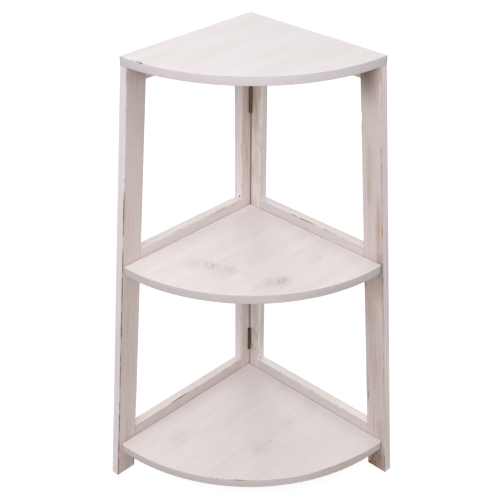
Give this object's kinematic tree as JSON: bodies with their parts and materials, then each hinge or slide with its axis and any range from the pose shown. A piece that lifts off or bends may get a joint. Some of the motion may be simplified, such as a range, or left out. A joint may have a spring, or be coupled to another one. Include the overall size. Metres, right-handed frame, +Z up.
{
  "type": "corner shelf",
  "caption": "Tiered corner shelf with quarter-round boards between hinged, outward-leaning board frames.",
  "frame": {"origin": "on the floor under the middle of the overall box", "axes": "+Z up; the left frame stands in the plane at low X and runs towards -Y, the right frame in the plane at high Y and runs towards +X, so the room corner is at -X +Y and the open front faces +X -Y"},
  "size_m": [0.377, 0.377, 0.815],
  "materials": {
    "whitewashed_wood": "matt whitewash, rubbed through at the edges",
    "beech_dowel": "bare beech",
    "antique_brass": "darkened brass plate",
    "brass_screw": "darkened brass plate",
    "zinc_screw": "dull zinc plate"
  },
  "bodies": {
    "left_frame": {"left_bottom_dowels": "beech_dowel", "left_bottom_rail": "whitewashed_wood", "left_bottom_shelf_screws": "zinc_screw", "left_front_leg": "whitewashed_wood", "left_middle_dowels": "beech_dowel", "left_middle_rail": "whitewashed_wood", "left_middle_shelf_screws": "zinc_screw", "left_rear_stile": "whitewashed_wood", "left_top_dowels": "beech_dowel", "left_top_rail": "whitewashed_wood", "left_top_shelf_screws": "zinc_screw", "lower_hinge_left_leaf": "antique_brass", "lower_hinge_left_screws": "brass_screw", "lower_hinge_pin": "antique_brass", "upper_hinge_left_leaf": "antique_brass", "upper_hinge_left_screws": "brass_screw", "upper_hinge_pin": "antique_brass"},
    "right_frame": {"lower_hinge_right_leaf": "antique_brass", "lower_hinge_right_screws": "brass_screw", "right_bottom_dowels": "beech_dowel", "right_bottom_rail": "whitewashed_wood", "right_bottom_shelf_screws": "zinc_screw", "right_front_leg": "whitewashed_wood", "right_middle_dowels": "beech_dowel", "right_middle_rail": "whitewashed_wood", "right_middle_shelf_screws": "zinc_screw", "right_rear_stile": "whitewashed_wood", "right_top_dowels": "beech_dowel", "right_top_rail": "whitewashed_wood", "right_top_shelf_screws": "zinc_screw", "upper_hinge_right_leaf": "antique_brass", "upper_hinge_right_screws": "brass_screw"},
    "top_shelf_body": {"top_shelf": "whitewashed_wood"},
    "middle_shelf_body": {"middle_shelf": "whitewashed_wood"},
    "bottom_shelf_body": {"bottom_shelf": "whitewashed_wood"}
  },
  "joints": [
    {"name": "frame_fold", "type": "hinge", "parent": "left_frame", "child": "right_frame", "pos_m": [-0.1684, 0.1684, 0.399], "axis": [0, 0, -1], "range_deg": [0, 90]},
    {"name": "middle_shelf_out", "type": "slide", "parent": "left_frame", "child": "middle_shelf_body", "axis": [0.7071, -0.7071, 0], "range_m": [0, 0.82]},
    {"name": "bottom_shelf_out", "type": "slide", "parent": "left_frame", "child": "bottom_shelf_body", "axis": [0.7071, -0.7071, 0], "range_m": [0, 0.82]},
    {"name": "top_shelf_lift", "type": "slide", "parent": "left_frame", "child": "top_shelf_body", "axis": [0, 0, 1], "range_m": [0, 0.15]}
  ],
  "couplings": [
    {"joint": "middle_shelf_out", "follows": "frame_fold", "m_per_rad": 0.52},
    {"joint": "bottom_shelf_out", "follows": "frame_fold", "m_per_rad": 0.52}
  ]
}
